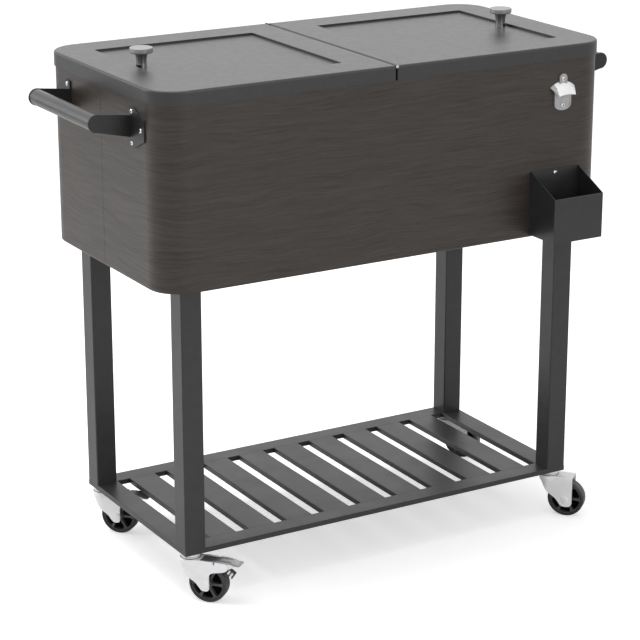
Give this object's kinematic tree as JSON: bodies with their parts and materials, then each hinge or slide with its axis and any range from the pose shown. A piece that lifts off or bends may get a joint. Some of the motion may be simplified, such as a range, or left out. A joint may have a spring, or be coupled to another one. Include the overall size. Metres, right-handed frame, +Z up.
{
  "type": "rolling patio cooler",
  "caption": "Insulated tub with two lid halves hinged at the middle, on legs over a slatted shelf with swivel casters, with end handles, bottle opener and cap catcher",
  "frame": {"origin": "on the floor under the middle of the whole outline", "axes": "+X along the length towards the end with the opener, -Y towards the front with the cap catcher, +Z up"},
  "size_m": [0.9368, 0.4714, 0.838],
  "materials": {
    "wood_grain_wrap": "printed wood grain, satin",
    "lid_grey": "satin powder coat",
    "frame_grey": "satin powder coat",
    "shelf_grey": "satin powder coat",
    "bracket_black": "satin powder coat",
    "grip_grey": "satin powder coat",
    "knob_steel": "brushed, bevelled edge",
    "screw_steel": "bright",
    "opener_steel": "satin chrome",
    "catcher_black": "satin powder coat",
    "caster_zinc": "light zinc plate",
    "axle_steel": "bright",
    "tyre_grey": "moulded rubber",
    "hub_grey": "moulded",
    "pedal_dark": "satin",
    "basin_grey": "smooth moulded",
    "rim_black": "moulded",
    "foam": "closed cell foam",
    "pan_steel": "satin powder coat",
    "liner_grey": "moulded",
    "seal_black": "soft extrusion",
    "plug_black": "moulded",
    "drain_white": "moulded"
  },
  "bodies": {
    "root": {"wall_screws": "screw_steel", "front_shell": "wood_grain_wrap", "rear_shell": "wood_grain_wrap", "bottom_pan": "pan_steel", "inner_liner": "basin_grey", "insulation": "foam", "rim_frame": "rim_black", "hinge_bar": "lid_grey", "hinge_pins": "screw_steel", "leg_plugs": "plug_black", "leg_bolts": "screw_steel", "front_shelf_rail": "shelf_grey", "rear_shelf_rail": "shelf_grey", "left_shelf_rail": "shelf_grey", "right_shelf_rail": "shelf_grey", "shelf_slats": "shelf_grey", "left_handle_grip": "grip_grey", "right_handle_grip": "grip_grey", "bottle_opener": "opener_steel", "cap_catcher": "catcher_black", "drain_fitting": "drain_white", "drain_nut": "drain_white", "caster_stems": "caster_zinc", "left_front_handle_bracket": "bracket_black", "left_rear_handle_bracket": "bracket_black", "right_front_handle_bracket": "bracket_black", "right_rear_handle_bracket": "bracket_black", "front_left_leg": "frame_grey", "front_right_leg": "frame_grey", "rear_left_leg": "frame_grey", "rear_right_leg": "frame_grey"},
    "left_lid": {"left_lid_cover": "lid_grey", "left_lid_liner": "liner_grey", "left_lid_seal": "seal_black", "left_lid_knob": "knob_steel"},
    "right_lid": {"right_lid_cover": "lid_grey", "right_lid_liner": "liner_grey", "right_lid_seal": "seal_black", "right_lid_knob": "knob_steel"},
    "front_left_fork": {"front_left_caster_fork": "caster_zinc", "front_left_caster_axle": "axle_steel"},
    "front_left_wheel": {"front_left_wheel_tyre": "tyre_grey", "front_left_wheel_hub": "hub_grey"},
    "front_right_fork": {"front_right_caster_fork": "caster_zinc", "front_right_caster_axle": "axle_steel"},
    "front_right_wheel": {"front_right_wheel_tyre": "tyre_grey", "front_right_wheel_hub": "hub_grey"},
    "rear_left_fork": {"rear_left_caster_fork": "caster_zinc", "rear_left_caster_axle": "axle_steel"},
    "rear_left_wheel": {"rear_left_wheel_tyre": "tyre_grey", "rear_left_wheel_hub": "hub_grey"},
    "rear_right_fork": {"rear_right_caster_fork": "caster_zinc", "rear_right_caster_axle": "axle_steel"},
    "rear_right_wheel": {"rear_right_wheel_tyre": "tyre_grey", "rear_right_wheel_hub": "hub_grey"},
    "front_left_pedal": {"front_left_brake_pedal": "pedal_dark"},
    "rear_left_pedal": {"rear_left_brake_pedal": "pedal_dark"},
    "drain_plug": {"drain_plug": "plug_black"}
  },
  "joints": [
    {"name": "left_lid_hinge", "type": "hinge", "parent": "root", "child": "left_lid", "pos_m": [0, 0.03235, 0.8098], "axis": [0, 1, 0], "range_deg": [0, 65]},
    {"name": "right_lid_hinge", "type": "hinge", "parent": "root", "child": "right_lid", "pos_m": [0, 0.03235, 0.8098], "axis": [0, -1, 0], "range_deg": [0, 65]},
    {"name": "front_left_swivel", "type": "hinge", "parent": "root", "child": "front_left_fork", "pos_m": [-0.341, -0.12515, 0.078], "axis": [0, 0, 1], "continuous": true},
    {"name": "front_left_wheel_spin", "type": "hinge", "parent": "front_left_fork", "child": "front_left_wheel", "pos_m": [-0.32107, -0.1489, 0.031], "axis": [0.766, 0.6428, 0], "continuous": true},
    {"name": "front_left_brake", "type": "hinge", "parent": "front_left_fork", "child": "front_left_pedal", "pos_m": [-0.30468, -0.16843, 0.062], "axis": [0.766, 0.6428, 0], "range_deg": [0, 8]},
    {"name": "front_right_swivel", "type": "hinge", "parent": "root", "child": "front_right_fork", "pos_m": [0.341, -0.12515, 0.078], "axis": [0, 0, 1], "continuous": true},
    {"name": "front_right_wheel_spin", "type": "hinge", "parent": "front_right_fork", "child": "front_right_wheel", "pos_m": [0.36093, -0.1489, 0.031], "axis": [0.766, 0.6428, 0], "continuous": true},
    {"name": "rear_left_swivel", "type": "hinge", "parent": "root", "child": "rear_left_fork", "pos_m": [-0.341, 0.18985, 0.078], "axis": [0, 0, 1], "continuous": true},
    {"name": "rear_left_wheel_spin", "type": "hinge", "parent": "rear_left_fork", "child": "rear_left_wheel", "pos_m": [-0.32107, 0.1661, 0.031], "axis": [0.766, 0.6428, 0], "continuous": true},
    {"name": "rear_left_brake", "type": "hinge", "parent": "rear_left_fork", "child": "rear_left_pedal", "pos_m": [-0.30468, 0.14657, 0.062], "axis": [0.766, 0.6428, 0], "range_deg": [0, 8]},
    {"name": "rear_right_swivel", "type": "hinge", "parent": "root", "child": "rear_right_fork", "pos_m": [0.341, 0.18985, 0.078], "axis": [0, 0, 1], "continuous": true},
    {"name": "rear_right_wheel_spin", "type": "hinge", "parent": "rear_right_fork", "child": "rear_right_wheel", "pos_m": [0.36093, 0.1661, 0.031], "axis": [0.766, 0.6428, 0], "continuous": true},
    {"name": "drain_plug_lift", "type": "slide", "parent": "root", "child": "drain_plug", "axis": [0, 0, 1], "range_m": [0, 0.04]}
  ]
}
